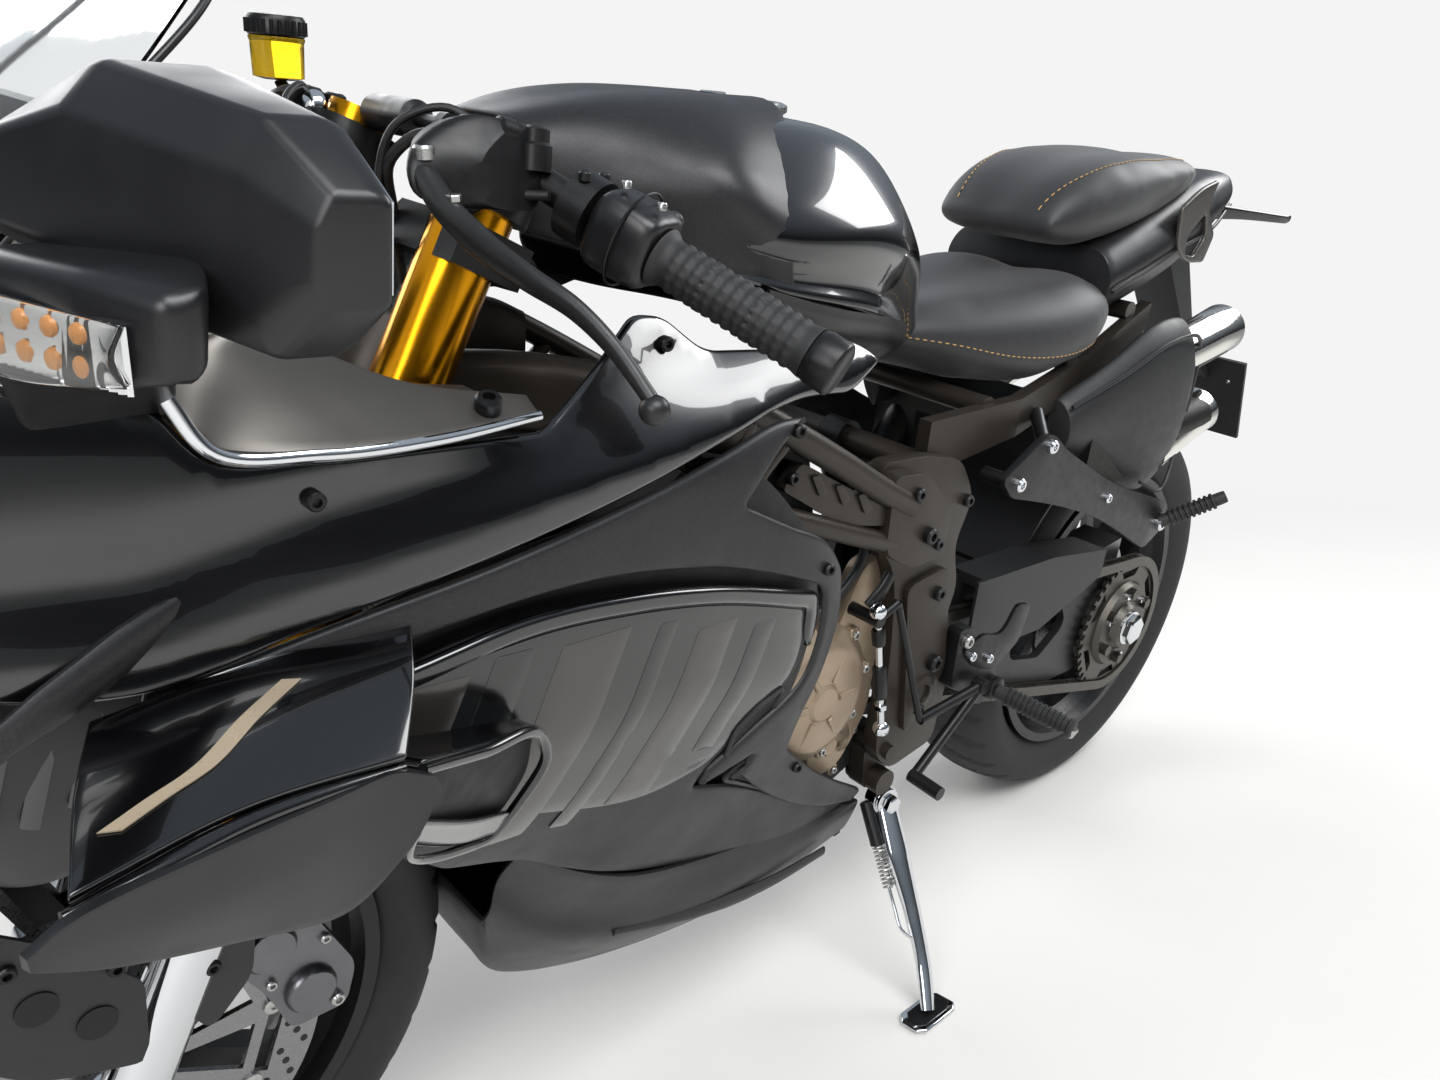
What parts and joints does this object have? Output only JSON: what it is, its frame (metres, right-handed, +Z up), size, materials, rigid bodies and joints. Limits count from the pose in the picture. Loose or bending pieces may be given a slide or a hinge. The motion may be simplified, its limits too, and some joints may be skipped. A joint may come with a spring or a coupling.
{
  "type": "sport motorcycle",
  "caption": "Faired sport motorcycle leaning on its side stand: single-sided swingarm, stacked exhaust outlets, winglets, clip-on bars; wheels turn, steering turns and the stand folds.",
  "frame": {"origin": "on the floor under the centre of the outline of the leaning motorcycle", "axes": "+X forward along the bike, +Y to the rider's left, +Z up"},
  "size_m": [2.0437, 0.8554, 1.094],
  "materials": {
    "gloss_panel": "gloss black paint",
    "matte_panel": "satin charcoal",
    "clear_screen": "clear acrylic",
    "lamp": "clear lens",
    "frame_metal": "satin bronze grey",
    "engine_metal": "cast, dark grey",
    "cover_metal": "cast, champagne paint",
    "swingarm_metal": "satin grey",
    "black_metal": "satin black",
    "gold_anodised": "gold anodised",
    "chrome": "polished",
    "steel": "machined",
    "exhaust_metal": "brushed",
    "disc_steel": "ground",
    "caliper_metal": "anodised grey",
    "rim_metal": "satin black",
    "seat_leather": "grained",
    "rubber": "ribbed",
    "tyre": "rubber"
  },
  "bodies": {
    "chassis": {"drive_chain": "steel", "swingarm": "swingarm_metal", "rear_caliper": "caliper_metal", "rear_hugger": "matte_panel", "main_frame": "frame_metal", "subframe": "frame_metal", "engine_block": "engine_metal", "engine_covers": "cover_metal", "radiator": "engine_metal", "exhaust_system": "exhaust_metal", "fuel_tank": "gloss_panel", "tail_fairing": "matte_panel", "tail_lights": "lamp", "plate_bracket": "matte_panel", "rider_seat": "seat_leather", "pillion_seat": "seat_leather", "upper_fairings": "gloss_panel", "side_fairing_left": "matte_panel", "side_fairing_right": "matte_panel", "belly_pan": "matte_panel", "nose_fairing": "gloss_panel", "headlights": "lamp", "windscreen": "clear_screen", "cockpit": "matte_panel", "winglets": "gloss_panel", "mirrors": "matte_panel", "foot_pegs": "frame_metal", "foot_controls": "steel", "rear_shock": "steel"},
    "steering": {"yokes": "black_metal", "fork_upper_tubes": "gold_anodised", "fork_sliders": "chrome", "handlebars": "black_metal", "grips": "rubber", "hand_controls": "black_metal", "front_fender": "matte_panel", "front_calipers": "caliper_metal"},
    "front_wheel": {"front_rim": "rim_metal", "front_tyre": "tyre", "front_discs": "disc_steel"},
    "rear_wheel": {"rear_rim": "rim_metal", "rear_tyre": "tyre", "rear_disc": "disc_steel", "rear_sprocket": "steel"},
    "side_stand": {"side_stand": "chrome"}
  },
  "joints": [
    {"name": "steering_turn", "type": "hinge", "parent": "chassis", "child": "steering", "pos_m": [0.4578, -0.0409, 0.78453], "axis": [-0.4143, 0.1861, 0.8909], "range_deg": [-25, 25]},
    {"name": "front_wheel_spin", "type": "hinge", "parent": "steering", "child": "front_wheel", "pos_m": [0.72214, -0.14315, 0.29497], "axis": [-0.0001, 0.9789, -0.2045], "continuous": true},
    {"name": "rear_wheel_spin", "type": "hinge", "parent": "chassis", "child": "rear_wheel", "pos_m": [-0.68585, -0.14008, 0.31033], "axis": [-0.0001, 0.9789, -0.2045], "continuous": true},
    {"name": "side_stand_fold", "type": "hinge", "parent": "chassis", "child": "side_stand", "pos_m": [-0.08989, -0.00017, 0.22667], "axis": [0.0001, 0.9572, 0.2893], "range_deg": [0, 95]}
  ]
}
